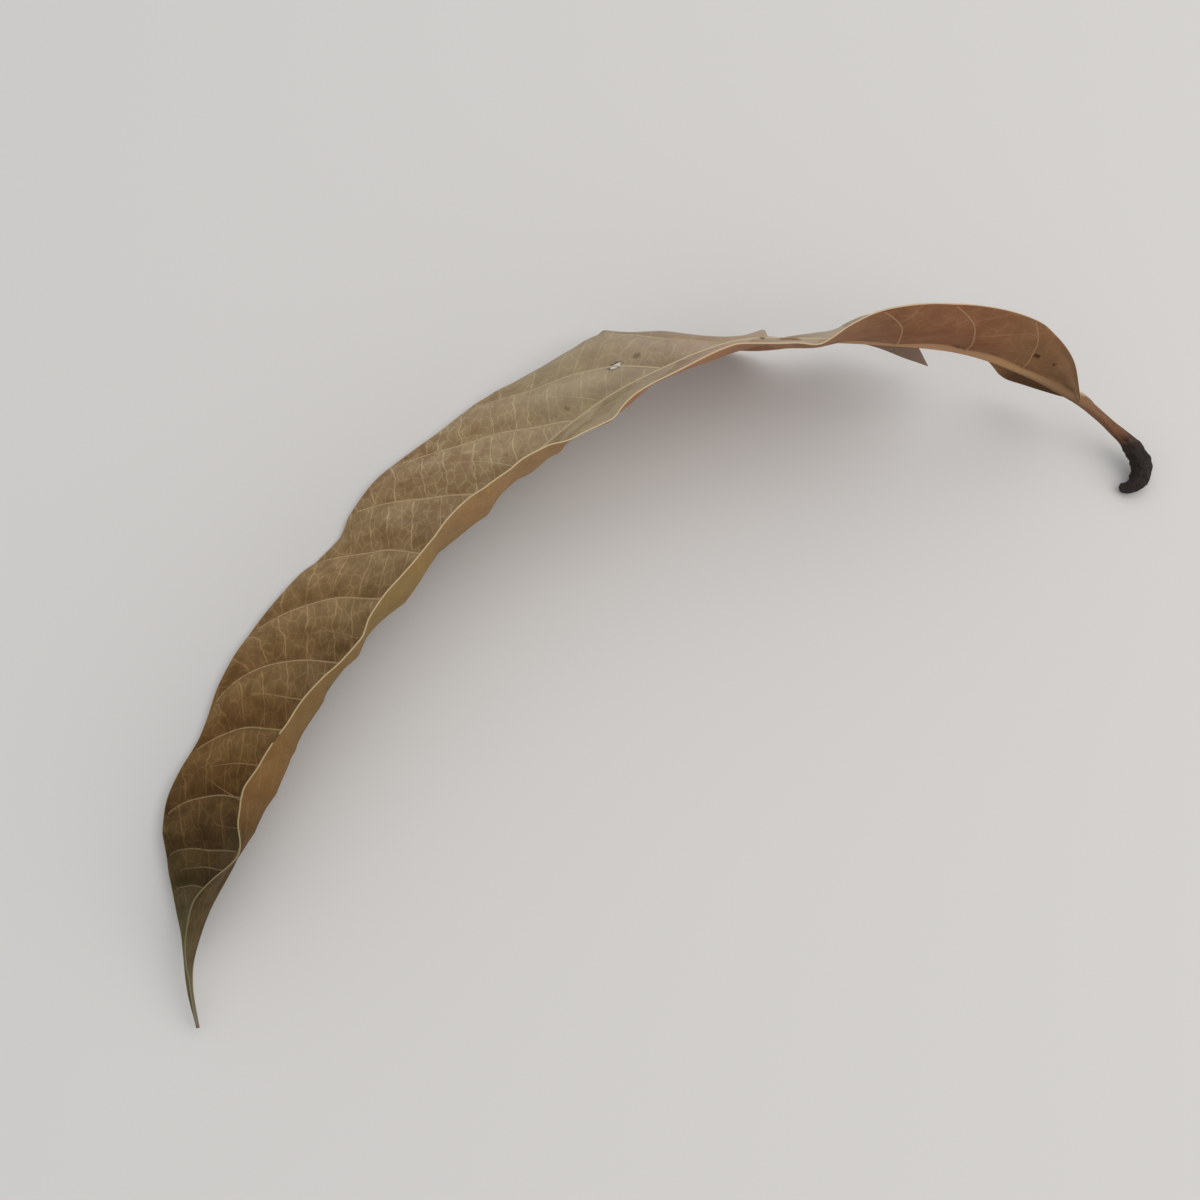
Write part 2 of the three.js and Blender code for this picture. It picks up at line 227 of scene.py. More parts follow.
# %% Secondary veins as lines on the flat leaf
LOW_VEINS = np.array((
    (11, 5, 0.9, 0.9, 1), (33, 8, 0.9, 0.9, 0.5), (47, 12, 0.7, 0.9, 0.6), (59, 18, 0.5, 0.92, 0.8),
    (71.5, 26, 0.2, 0.92, 1), (84.5, 33, 0, 0.95, 1), (98, 20, 0.1, 0.4, 0.6),
    (104.5, 28.5, 0, 0.95, 1), (118.8, 18, 0.2, 0.5, 0.65), (127, 18, 0, 0.95, 1),
    (143.5, 12, 0.2, 0.95, 1), (154.8, 19.5, 0.5, 0.95, 1), (164.3, 9, 0.3, 0.5, 0.6),
    (170, 19, 0.5, 0.95, 1), (179.4, 11, 0.5, 0.62, 0.7), (186, 9.8, 0.5, 0.95, 1),
    (193.4, 7.5, 0.5, 0.75, 0.7), (199.8, 7, 0.5, 0.95, 1), (202.1, -4.7, 0, 0.97, 0.7),
    (205.8, 2.7, 0.5, 0.7, 0.6), (210, 6.7, 0.5, 0.93, 0.9), (213.7, 7, 0.5, 0.75, 0.75),
    (217.8, 3.2, 0.5, 0.9, 0.85),
))
STANDING_VEINS = np.array((
    (13.1, 3.6, 1, 0.97, 1), (15.2, 4, 0.9, 0.6, 0.6), (25.2, 7.2, 1, 0.97, 1),
    (39.2, 5, 1, 0.97, 1), (53, 12, 0.7, 0.95, 0.8), (66, 20, 0.4, 0.95, 0.6),
    (81, 26, 0.2, 0.95, 0.5), (97, 28, 0.1, 0.95, 0.5), (111, 24, 0.1, 0.95, 0.5),
    (125, 20, 0.2, 0.95, 0.5), (139, 17, 0.3, 0.95, 0.5), (152, 16, 0.4, 0.95, 0.5),
    (165, 14, 0.4, 0.95, 0.5), (177, 12, 0.5, 0.95, 0.5), (188, 10, 0.5, 0.95, 0.5),
    (198, 8, 0.6, 0.95, 0.5), (206, 7, 0.6, 0.9, 0.5), (213, 6, 0.7, 0.8, 0.4),
))
VEINS = (LOW_VEINS, STANDING_VEINS)
LONG_REACH = 0.85
LATE_POWER = 4
VEIN_WAVER = 0.08
VEIN_WAVES = 15.0
LAST_PANEL = 14.0
BEYOND = 60.0
# Moves the net on from panel to panel, so that no two look the same
PANEL_SHIFT = 40.0
NARROWEST_HALF = 6.0


def vein_lines(rows, q):
    """Where the veins cross the share q of their half, in millimetres along the leaf."""
    foot, run, late = rows.T[:3]
    return foot + run * (q + late * (q**LATE_POWER - q)) + VEIN_WAVER * np.sin(VEIN_WAVES * q + foot)


def between_veins(along, half, q):
    """Place between two long veins: its share, the gap, and a frame that follows the veins."""
    rows = VEINS[half]
    rows = rows[(rows[:, 3] > LONG_REACH) & (rows[:, 1] > 0)]
    lines = vein_lines(rows, q)
    lines = np.concatenate(((lines[0] - LAST_PANEL,), lines, lines[-1] + (LAST_PANEL, BEYOND)))
    i = np.clip(np.searchsorted(lines, along) - 1, 0, len(lines) - 2)
    gap = lines[i + 1] - lines[i]
    vein = np.clip(i - 1, 0, len(rows) - 1)
    width = np.maximum(value_at(HALF_WIDTHS[half], rows[:, 0] / BLADE_LENGTH), NARROWEST_HALF)
    slant = np.arctan2(rows[:, 1], width)[vein]
    past = along - lines[i]
    from_vein = past * np.cos(slant)
    down_vein = q * width[vein] / np.cos(slant) + past * np.sin(slant) + PANEL_SHIFT * i
    return np.clip(past / gap, 0, 1), gap, from_vein, down_vein


print("veins on the two halves:", [len(rows) for rows in VEINS])

# %% [markdown]
# Now the sheet itself. It is worked out in lines along the leaf, one for each share of the way
# across a half: an arc that starts with the lean and bends by the curl, then the waves from the
# tables, the quilting between the veins and a little unevenness, all moved square to the arc.
# Beside the tear the low half reaches back to a pointed flap, and the standing half has a small
# nick in its margin.

# %% One line of the sheet
# The blade puffs up by this much between veins that are a full span apart, less beside the midrib
# and the margin
QUILT_RISE = 0.5
QUILT_SKEW = 0.85
FULL_QUILT_SPAN = 14.0
QUILT_FROM, QUILT_FULL, QUILT_FADES = 0.02, 0.22, 0.8
QUILT_LOST_AT_MARGIN = 0.6
# Each wave: radians per millimetre along, radians across a half, and where it starts
UNEVEN = 0.1
UNEVEN_WAVES = ((0.43, 5, 0), (0.27, -9, 2))
LEAST_CURL = 0.001
VEIN_SLANT = 0.85
FAR = 9.0
# Depth and reach across in millimetres, the rest in shares of the leaf's length
FLAP_REACH, FLAP_PULL, FLAP_LENGTH = 16.3, 0.033, 0.02
NICK_AT, NICK_DEPTH, NICK_HALF_LENGTH = 0.796, 0.9, 0.0032


def smooth_step(x, low, high):
    """0 below low, 1 above high, eased between them."""
    f = np.clip((x - low) / (high - low), 0, 1)
    return f * f * (3 - 2 * f)


def half_line(rows, half, q):
    """Points along the leaf at the share q across one half, with the measures of each point."""
    s = rows
    plain = value_at(HALF_WIDTHS[half], rows)
    width = plain
    if half == LOW:
        near_tear = np.exp(-(((rows - TEAR_END) / FLAP_LENGTH) ** 2))
        s = rows - FLAP_PULL * (plain * q / FLAP_REACH) ** 2 * near_tear
    else:
        width = plain - NICK_DEPTH * np.exp(-(((rows - NICK_AT) / NICK_HALF_LENGTH) ** 4))
    t = station_at(s)
    step = 0.0001
    middle = through(STATIONS[:, :3], t)
    ahead = through(STATIONS[:, :3], np.minimum(t + step, 1))
    ahead = ahead - through(STATIONS[:, :3], np.maximum(t - step, 0))
    ahead /= np.linalg.norm(ahead, axis=1)[:, None]
    out = np.column_stack((ahead[:, 1], -ahead[:, 0], np.zeros(len(s))))
    out /= np.linalg.norm(out, axis=1)[:, None]
    up = np.cross(out, ahead)
    lean, curl = np.radians(through(STATIONS[:, 3 + 2 * half:5 + 2 * half], t)).T
    curl = np.where(np.abs(curl) < LEAST_CURL, LEAST_CURL, curl)

    along = s * BLADE_LENGTH
    panel, gap, from_vein, down_vein = between_veins(along, half, q)
    margin_rises, middle_rises = RISES[half]
    rise = value_at(margin_rises, s) * q**2 + value_at(middle_rises, s) * np.sin(np.pi * q)
    fades = QUILT_LOST_AT_MARGIN * smooth_step(q, QUILT_FADES, 1.0)
    room = smooth_step(q, QUILT_FROM, QUILT_FULL) * (1 - fades)
    full = np.minimum(1, gap / FULL_QUILT_SPAN) * np.minimum(1, plain / FULL_QUILT_SPAN)
    quilt = QUILT_RISE * full * np.sin(np.pi * panel**QUILT_SKEW)
    uneven = UNEVEN * sum(np.sin(a * along + b * q + c) for a, b, c in UNEVEN_WAVES)
    turn = 1 if half == LOW else -1
    lift = rise + turn * room * (quilt + uneven)

    angle = lean + curl * q
    sideways = width / curl * (np.sin(angle) - np.sin(lean)) - lift * np.sin(angle)
    upward = width / curl * (np.cos(lean) - np.cos(angle)) + lift * np.cos(angle)
    points = middle + sideways[:, None] * out + upward[:, None] * up + SET_DOWN
    face = turn * (np.cos(angle)[:, None] * up - np.sin(angle)[:, None] * out)
    reaching = VEINS[half][VEINS[half][:, 3] > q]
    away = np.abs(along[:, None] - vein_lines(reaching, q)) * VEIN_SLANT / reaching[:, 4]
    to_vein = np.minimum(away.min(axis=1, initial=FAR), FAR)
    return dict(points=points, face=face, reach=width * q, to_margin=plain - width * q, along=along,
                to_vein=to_vein, panel=panel, from_vein=from_vein, down_vein=down_vein)


low_margin = half_line(np.array((0.0, 1.0)), LOW, 1.0)["points"]
print("low margin from and to in mm:", low_margin.round(1).tolist())

# %% One grid for both halves
# Columns are closest at the midrib and the margin, and rows beside the tear
FIRST_STEPS = (0, 0.2, 0.4, 0.6, 0.8, 1.0, 1.2, 1.5, 1.95)
MIDDLE_STEPS = np.arange(2.6, 18.9, 0.65)
LAST_STEPS = (19.2, 19.55, 19.8, 20.0)
ACROSS = np.concatenate((FIRST_STEPS, MIDDLE_STEPS, LAST_STEPS)) / LAST_STEPS[-1]
EVEN_ROWS = 481
TEAR_ROW_STEP = 0.0012
CUT_LENGTH = 0.003


def half_sheet(rows, half, shares):
    """The lines of one half side by side, as one grid for each measure."""
    lines = [half_line(rows, half, q) for q in shares]
    return {name: np.stack([line[name] for line in lines], axis=1) for name in lines[0]}


even_rows = np.linspace(0, 1, EVEN_ROWS)
tear_rows = np.arange(TEAR_START, TEAR_END - CUT_LENGTH, TEAR_ROW_STEP)
whole_rows = even_rows[(even_rows < TEAR_START) | (even_rows > TEAR_END)]
ROWS = np.unique(np.concatenate((whole_rows, tear_rows, (TEAR_END,))))
low_half = half_sheet(ROWS, LOW, ACROSS)
standing_half = half_sheet(ROWS, STANDING, ACROSS)
middle_face = low_half["face"][:, :1] + standing_half["face"][:, :1]
middle_face /= np.linalg.norm(middle_face, axis=2)[..., None]
low_half["face"][:, :1] = middle_face
sheet = {}
for measure, low_grid in low_half.items():
    sheet[measure] = np.concatenate((low_grid[:, ::-1], standing_half[measure][:, 1:]), axis=1)
PLACES = np.concatenate((-ACROSS[::-1], ACROSS[1:]))
print("sheet of", sheet["points"].shape[:2], "points")

# %% [markdown]
# ## The blade
# The blade is a closed skin: the sheet's upper face, its lower face, and a rim. On a mango leaf
# the midrib stands out strongly below and only as a fine line above, and the margin is a thin,
# hard, pale cord. All three are thickness, so they are added to the sheet here. A Solidify
# modifier could give one even thickness, but not these ridges. Where the tear ends, the skin is
# cut and closed on both sides of the cut.

# %% Upper and lower face
BLADE_THICKNESS = 0.26
MARGIN_BEAD = 0.03
MARGIN_BEAD_SPREAD = 0.4
MIDRIB_ABOVE = 0.28
MIDRIB_ABOVE_SPREAD = 0.5
MIDRIB_HEIGHT_AT_BASE, MIDRIB_HEIGHT_AT_TIP = 1.0, 0.12
MIDRIB_HALF_WIDTH_AT_BASE, MIDRIB_HALF_WIDTH_AT_TIP = 0.88, 0.3
MIDRIB_TAPER = 5
MIDRIB_ROUNDING = 0.75
LINE_LOST_AT_TIP = 0.6
# How far the ridge is shifted towards the standing half, in millimetres, and how many times wider
# its colour runs on that side below
MIDRIB_SHIFTS = np.array(((0, 0), (0.04, 0.1), (0.1, 0.5), (0.2, 0.5), (0.26, 0), (1, 0)))
MIDRIB_FLANKS = np.array(((0, 1), (0.05, 1.4), (0.1, 2.6), (0.2, 3.2), (0.26, 1), (1, 1)))

rows_down = ROWS[:, None]
in_tear = (rows_down > TEAR_START) & (rows_down < TEAR_END) & (PLACES < 0)
sheet["to_margin"] = np.where(in_tear, FAR, sheet["to_margin"])
bead = MARGIN_BEAD * np.exp(-((sheet["to_margin"] / MARGIN_BEAD_SPREAD) ** 2))
taper = (1 - rows_down) ** MIDRIB_TAPER
ridge_height = MIDRIB_HEIGHT_AT_TIP + (MIDRIB_HEIGHT_AT_BASE - MIDRIB_HEIGHT_AT_TIP) * taper
ridge_width = MIDRIB_HALF_WIDTH_AT_TIP + (MIDRIB_HALF_WIDTH_AT_BASE - MIDRIB_HALF_WIDTH_AT_TIP) * taper
across_mm = sheet["reach"] * np.sign(PLACES)
from_midrib = np.abs(across_mm - value_at(MIDRIB_SHIFTS, ROWS)[:, None])
sheet["to_midrib"] = from_midrib / ridge_width
ridge = ridge_height * np.maximum(0, 1 - sheet["to_midrib"] ** 2) ** MIDRIB_ROUNDING
line_above = MIDRIB_ABOVE * (1 - LINE_LOST_AT_TIP * rows_down)
line_above = line_above * np.exp(-((from_midrib / MIDRIB_ABOVE_SPREAD) ** 2))
flank = np.where(across_mm > 0, value_at(MIDRIB_FLANKS, ROWS)[:, None], 1.0)
half_thick = (BLADE_THICKNESS + bead) / 2
upper = sheet["points"] + sheet["face"] * (half_thick + line_above)[..., None]
lower = sheet["points"] - sheet["face"] * (half_thick + ridge)[..., None]
print("midrib stands out below by mm:", round(float(ridge.max()), 2))

# %% The closed skin


def grid_faces(rows, columns, cut, cut_columns):
    """Faces of a closed skin between two grids of points: upper, lower, edges of a cut, rim."""
    top, under = np.arange(2 * rows * columns).reshape(2, rows, columns)
    whole = np.ones((rows - 1, columns - 1), bool)
    whole[cut, :cut_columns] = False
    upper_faces = np.stack((top[:-1, :-1], top[1:, :-1], top[1:, 1:], top[:-1, 1:]), -1)
    lower_faces = np.stack((under[:-1, :-1], under[:-1, 1:], under[1:, 1:], under[1:, :-1]), -1)
    left = np.stack((top[:-1], under[:-1], under[1:], top[1:]), -1)
    right = np.stack((top[:-1, -1], top[1:, -1], under[1:, -1], under[:-1, -1]), -1)
    start = np.stack((top[:, :-1], top[:, 1:], under[:, 1:], under[:, :-1]), -1)
    end = np.stack((top[:, :-1], under[:, :-1], under[:, 1:], top[:, 1:]), -1)
    beside_cut = left[cut, cut_columns:cut_columns + 1]
    cut_edges = (end[cut, :cut_columns], start[cut + 1, :cut_columns], beside_cut)
    rim = (np.delete(left[:, 0], cut, axis=0), right, start[0], end[-1])
    return [upper_faces[whole], lower_faces[whole], np.concatenate(cut_edges), np.concatenate(rim)]


def plain_object(name, points_mm, faces):
    """A mesh object at the origin, smooth, from points in millimetres."""
    mesh = bpy.data.meshes.new(name)
    mesh.from_pydata((np.asarray(points_mm) * MM).tolist(), [], [list(map(int, face)) for face in faces])
    mesh.shade_smooth()
    piece = bpy.data.objects.new(name, mesh)
    bpy.context.scene.collection.objects.link(piece)
    return piece


def keep_measure(piece, name, values, kind="FLOAT"):
    """Stores one number or vector per point, for the materials to read."""
    store = piece.data.attributes.new(name, kind, "POINT")
    flat = np.ascontiguousarray(values, np.float32).ravel()
    store.data.foreach_set("vector" if kind == "FLOAT_VECTOR" else "value", flat)


# The net's fields are drawn longer from vein to vein. The cut leaves a few columns beside the
# midrib whole.
CELL_SQUEEZE = 0.65
KEPT_BESIDE_MIDRIB = 5
row_count, column_count = sheet["points"].shape[:2]
last_torn = np.searchsorted(ROWS, TEAR_END) - 1
skin_faces = grid_faces(row_count, column_count, last_torn, len(ACROSS) - 1 - KEPT_BESIDE_MIDRIB)
skin_points = np.concatenate((upper.reshape(-1, 3), lower.reshape(-1, 3)))
blade = plain_object("leaf_blade", skin_points, np.concatenate(skin_faces))
leaf_map = np.stack((sheet["along"], across_mm, np.zeros_like(across_mm)), -1)
net_map = np.stack((CELL_SQUEEZE * sheet["from_vein"], sheet["down_vein"], np.zeros_like(across_mm)), -1)
sheet["share"] = np.broadcast_to(rows_down, across_mm.shape)
for name in ("share", "to_margin", "to_vein", "panel"):
    keep_measure(blade, name, np.stack((sheet[name], sheet[name])))
keep_measure(blade, "to_midrib", np.stack((sheet["to_midrib"], sheet["to_midrib"] / flank)))
for name, values in (("leaf_mm", leaf_map), ("net_mm", net_map)):
    keep_measure(blade, name, np.stack((values, values)), "FLOAT_VECTOR")
print("blade faces:", len(blade.data.polygons))

# %% [markdown]
# ## Colours and the node helper
# Colours are picked as sRGB hex values and turned into the linear values that the renderer works
# in. One small function adds a shader or geometry node with its settings and links, so that each
# material below reads as a list of what it is made of.

# %% Helpers for node trees


def paint(code):
    """A colour from its sRGB hex code, as linear red, green, blue and alpha."""
    parts = [int(code[k:k + 2], 16) / 255 for k in (0, 2, 4)]
    return (*[c / 12.92 if c <= 0.04045 else ((c + 0.055) / 1.055) ** 2.4 for c in parts], 1.0)


def add(tree, kind, sockets=None, stops=None, **settings):
    """A node of this kind, with its settings, its ramp stops, and its sockets set or linked."""
    made = tree.nodes.new(kind)
    for name, value in settings.items():
        setattr(made, name, value)
    for key, value in (sockets or {}).items():
        if isinstance(value, bpy.types.NodeSocket):
            tree.links.new(value, made.inputs[key])
        else:
            made.inputs[key].default_value = value
    if stops:
        ramp = made.color_ramp.elements
        while len(ramp) < len(stops):
            ramp.new(0.5)
        for element, (place, code) in zip(ramp, stops):
            element.position = place
            element.color = paint(code)
    return made


def blank_material(name):
    """A material with an empty tree, ready for its nodes."""
    material = bpy.data.materials.new(name)
    material.use_nodes = True
    material.node_tree.nodes.clear()
    return material


print("mid brown in linear:", [round(v, 3) for v in paint("7d643e")])

# %% [markdown]
# ## Dry leaf skin
# A dried leaf is matt and papery: waxy skin over brown tissue. Colour runs from greyish khaki at
# the middle of the leaf to dark olive brown at the tip, with reddish patches, and the nearly black
# browns near the tip are partly painted shade. Between two veins a painted shade darkens the face
# from one to the next. Cross veins 4 to 5 mm apart bridge the gap between the secondary veins,
# branches and a finer mesh fill the fields between them, and all show as lighter lines.
# Photographs could be wrapped on, but they hold one leaf in one light. Procedural nodes stay sharp
# and can be changed. The upper and the lower face share this build and differ in their colours, so
# one function makes both, reading the measures stored on the blade.

# %% Leaf skin
# Sizes in millimetres. A real net is finer, below 1 mm with lines of 0.1 mm, so the mesh and all
# lines are drawn coarser here to show in a picture of the whole leaf.
CROSS_VEIN_GAP = 4.5
BRANCH_CELL = 1.7
MESH_CELL = 0.9
NET_WANDER, WANDER_SIZE = 2.0, 10 / 3
FRAY_REACH, FRAY_SIZE = 1.6, 0.9
PATCH_SIZE = 26.0
BLOTCH_SIZE = 9.0
GRAIN_SIZE = 0.5
CREAM_WIDTH = 0.13
VEIN_HALO = 0.32
NOISE_MIDDLE = (0.5, 0.5, 0.5)


def leaf_skin(name, along, veins, midrib, midrib_edge, cream, patch, patch_limits, painted_quilt_shade,
              net_strength, vein_strength, net_height, spots):
    """The face of a dry leaf: its colours along the leaf, its veins, patches, net and spots, with painted
    shade between the veins and towards the tip.
    """
    material = blank_material(name)
    tree = material.node_tree
    place = add(tree, "ShaderNodeAttribute", attribute_name="leaf_mm").outputs["Vector"]
    net_place = add(tree, "ShaderNodeAttribute", attribute_name="net_mm").outputs["Vector"]
    measure = {}
    for key in ("share", "to_margin", "to_midrib", "to_vein", "panel"):
        measure[key] = add(tree, "ShaderNodeAttribute", attribute_name=key).outputs["Fac"]
    share = measure["share"]

    # Ground colour with patches and blotches; its darkest browns near the tip are partly painted shade
    ground = add(tree, "ShaderNodeValToRGB", {0: share}, stops=along).outputs[0]
    vein_colour = add(tree, "ShaderNodeValToRGB", {0: share}, stops=veins).outputs[0]
    patches = add(tree, "ShaderNodeTexNoise", {"Vector": place, "Scale": 1 / PATCH_SIZE, "Detail": 4.0})
    patch_amount = add(tree, "ShaderNodeMapRange", {0: patches.outputs[0], 1: 0.42, 2: 0.68, 4: 0.5})
    where = add(tree, "ShaderNodeValToRGB", {0: share}, stops=patch_limits).outputs[0]
    patch_here = add(tree, "ShaderNodeMath", {0: patch_amount.outputs[0], 1: where}, operation="MULTIPLY")
    colour = add(tree, "ShaderNodeMix", {0: patch_here.outputs[0], 6: ground, 7: paint(patch)},
                 data_type="RGBA")
    blotches = add(tree, "ShaderNodeTexNoise", {"Vector": place, "Scale": 1 / BLOTCH_SIZE, "Detail": 6.0,
                                                "Roughness": 0.62})
    blotch = add(tree, "ShaderNodeMapRange", {0: blotches.outputs[0], 1: 0.3, 2: 0.7, 3: 0.95, 4: 1.05})
    colour = add(tree, "ShaderNodeVectorMath", {0: colour.outputs[2], "Scale": blotch.outputs[0]},
                 operation="SCALE")
    # Cross veins like rungs, branches and mesh between them, bent out of true and fading in places
    wander = add(tree, "ShaderNodeTexNoise", {"Vector": place, "Scale": 1 / WANDER_SIZE, "Detail": 3.0})
    bend = add(tree, "ShaderNodeVectorMath", {0: wander.outputs[1], 1: NOISE_MIDDLE}, operation="SUBTRACT")
    bent = add(tree, "ShaderNodeVectorMath", {0: bend.outputs[0], 1: (NET_WANDER, NET_WANDER, 0),
                                              2: net_place}, operation="MULTIPLY_ADD").outputs[0]
    down_vein = add(tree, "ShaderNodeSeparateXYZ", {0: bent}).outputs[1]
    # Each row: the map and its dimensions, then the size of a field, half the width of a line's
    # core and of its soft edge, all in millimetres, and the line's strength
    lines = None
    for key, spot, dimensions, cell, core, edge, strength in (
            ("W", down_vein, "1D", CROSS_VEIN_GAP, 0.08, 0.26, 1.0),
            ("Vector", bent, "2D", BRANCH_CELL, 0.08, 0.2, 0.74),
            ("Vector", bent, "2D", MESH_CELL, 0.04, 0.15, 0.45)):
        cells = add(tree, "ShaderNodeTexVoronoi", feature="DISTANCE_TO_EDGE",
                    voronoi_dimensions=dimensions)
        tree.links.new(spot, cells.inputs[key])
        cells.inputs["Scale"].default_value = 1 / cell
        line = add(tree, "ShaderNodeMapRange", {0: cells.outputs[0], 1: core / cell, 2: edge / cell,
                                                3: strength, 4: 0.0})
        both = {0: line.outputs[0], 1: lines.outputs[0]} if lines else {0: line.outputs[0]}
        lines = add(tree, "ShaderNodeMath", both, operation="MAXIMUM")
    fading = add(tree, "ShaderNodeMapRange", {0: wander.outputs[0], 1: 0.35, 2: 0.6, 3: 0.5 * net_strength,
                                              4: net_strength})
    shown = add(tree, "ShaderNodeMath", {0: lines.outputs[0], 1: fading.outputs[0]}, operation="MULTIPLY")
    halo = add(tree, "ShaderNodeMapRange", {0: measure["to_vein"], 1: 0.1, 2: VEIN_HALO, 3: vein_strength,
                                            4: 0.0})
    shown = add(tree, "ShaderNodeMath", {0: shown.outputs[0], 1: halo.outputs[0]}, operation="MAXIMUM")
    colour = add(tree, "ShaderNodeMix", {0: shown.outputs[0], 6: colour.outputs[0], 7: vein_colour},
                 data_type="RGBA")

    # Painted shade of the puffed blade: darker from one vein to the next
    band = add(tree, "ShaderNodeMapRange", {0: measure["panel"], 1: 0.25, 2: 0.88, 3: 1 - 0.65 * painted_quilt_shade,
                                            4: 1 + painted_quilt_shade}, interpolation_type="SMOOTHSTEP")
    colour = add(tree, "ShaderNodeGamma", {0: colour.outputs[2], 1: band.outputs[0]})

    # The midrib and the pale cord of the margin
    on_midrib = add(tree, "ShaderNodeMapRange", {0: measure["to_midrib"], 1: 0.7 * midrib_edge,
                                                 2: midrib_edge, 3: 0.9, 4: 0.0})
    midrib_colour = add(tree, "ShaderNodeValToRGB", {0: share}, stops=midrib).outputs[0]
    colour = add(tree, "ShaderNodeMix", {0: on_midrib.outputs[0], 6: colour.outputs[0], 7: midrib_colour},
                 data_type="RGBA")
    on_margin = add(tree, "ShaderNodeMapRange", {0: measure["to_margin"], 1: 0.04, 2: CREAM_WIDTH, 3: 0.85,
                                                 4: 0.0})
    cream_colour = add(tree, "ShaderNodeValToRGB", {0: share}, stops=cream)
    on_margin = add(tree, "ShaderNodeMath", {0: on_margin.outputs[0], 1: cream_colour.outputs[1]},
                    operation="MULTIPLY")
    colour = add(tree, "ShaderNodeMix", {0: on_margin.outputs[0], 6: colour.outputs[2],
                                         7: cream_colour.outputs[0]}, data_type="RGBA")

    # Spots and scars, ragged at their edges
    fray = add(tree, "ShaderNodeTexNoise", {"Vector": place, "Scale": 1 / FRAY_SIZE, "Detail": 3.0})
    fray = add(tree, "ShaderNodeVectorMath", {0: fray.outputs[1], 1: NOISE_MIDDLE}, operation="SUBTRACT")
    ragged = add(tree, "ShaderNodeVectorMath", {0: fray.outputs[0], 1: (FRAY_REACH, FRAY_REACH, 0),
                                                2: place}, operation="MULTIPLY_ADD")
    for spot_along, spot_across, half_length, half_width, code, strength in spots:
        away = add(tree, "ShaderNodeVectorMath", {0: ragged.outputs[0], 1: (spot_along, spot_across, 0)},
                   operation="SUBTRACT")
        away = add(tree, "ShaderNodeVectorMath", {0: away.outputs[0], 1: (half_length, half_width, 1)},
                   operation="DIVIDE")
        far = add(tree, "ShaderNodeVectorMath", {0: away.outputs[0]}, operation="LENGTH")
        in_spot = add(tree, "ShaderNodeMapRange", {0: far.outputs["Value"], 1: 0.7, 2: 1.1, 3: strength,
                                                   4: 0.0})
        colour = add(tree, "ShaderNodeMix", {0: in_spot.outputs[0], 6: colour.outputs[2], 7: paint(code)},
                     data_type="RGBA")

    # Fine relief and the matt, slightly waxy finish
    grain = add(tree, "ShaderNodeTexNoise", {"Vector": place, "Scale": 1 / GRAIN_SIZE, "Detail": 3.0})
    height = add(tree, "ShaderNodeMath", {0: lines.outputs[0], 1: net_height, 2: grain.outputs[0]},
                 operation="MULTIPLY_ADD")
    bump = add(tree, "ShaderNodeBump", {"Height": height.outputs[0], "Strength": 0.35,
                                        "Distance": 0.1 * MM})
    rough = add(tree, "ShaderNodeMapRange", {0: blotches.outputs[0], 1: 0.3, 2: 0.7, 3: 0.6, 4: 0.75})
    shader = add(tree, "ShaderNodeBsdfPrincipled", {
        "Base Color": colour.outputs[2], "Roughness": rough.outputs[0], "IOR": 1.42,
        "Specular IOR Level": 0.12, "Normal": bump.outputs[0]})
    add(tree, "ShaderNodeOutputMaterial", {"Surface": shader.outputs[0]})
    return material


print("net fields in mm:", (CROSS_VEIN_GAP, BRANCH_CELL, MESH_CELL))

# %% [markdown]
# The upper face is waxy and shows its net clearly, sunk a little into the skin. The lower face is
# redder and softer, with a fainter net that stands out. Each list gives colours at shares of the
# way from base to tip. A spot's row gives its place along and across the leaf and its half-sizes
# in millimetres, then its colour and its strength.

# %% The two faces
upper_skin = leaf_skin(
    "dry_leaf_upper_face",
    along=((0.0, "6e5a42"), (0.16, "a2917f"), (0.24, "968273"), (0.29, "a18373"), (0.34, "897262"),
           (0.42, "8a7a62"), (0.49, "785b3f"), (0.54, "68472c"), (0.58, "614527"), (0.62, "604a28"),
           # The near-black browns from 0.78 to 0.92 are the leaf's own brown deepened by painted shade
           (0.7, "4e3717"), (0.78, "492d10"), (0.83, "3c260a"), (0.855, "291906"), (0.88, "2e2007"),
           (0.92, "2c260d"), (0.96, "78713e"), (1.0, "6e6654")),
    veins=((0.0, "8c7656"), (0.14, "b0a08a"), (0.36, "aa9a7c"), (0.5, "b3a07c"), (0.65, "a48862"),
           (0.8, "84653c"), (0.85, "6b5130"), (0.9, "57462b"), (1.0, "80775f")),
    midrib=((0.0, "8a7256"), (0.25, "c6b090"), (0.35, "c2b08e"), (0.5, "b6a27c"), (0.8, "8c7448"),
            (1.0, "80775f")),
    midrib_edge=1.0,
    cream=((0.0, "c8ac84"), (0.3, "c8ae8c"), (0.5, "c4ae89"), (0.84, "b39e79"), (0.88, "93855f"),
           (0.92, "7c7252"), (1.0, "6e6654")),
    patch="71452a",
    patch_limits=((0.4, "000000"), (0.62, "c0c0c0"), (0.84, "606060"), (0.9, "000000")),
    # The first number below is the painted shade between the veins
    painted_quilt_shade=0.085, net_strength=1.0, vein_strength=0.5, net_height=-0.5,
    spots=((92.4, -5.2, 1.7, 0.85, "564c3e", 0.9), (92.3, -5.15, 1.25, 0.5, "ccc9c0", 0.95),
           (88.0, -5.3, 0.9, 0.8, "675a40", 0.7), (104.0, -3.0, 0.5, 0.4, "6b5c40", 0.6),
           (59.0, 1.2, 2.2, 1.8, "7c5638", 0.75), (64.3, 0.2, 0.6, 0.6, "584f45", 0.85),
           (209.5, -1.0, 5.0, 2.4, "64563b", 0.35)))
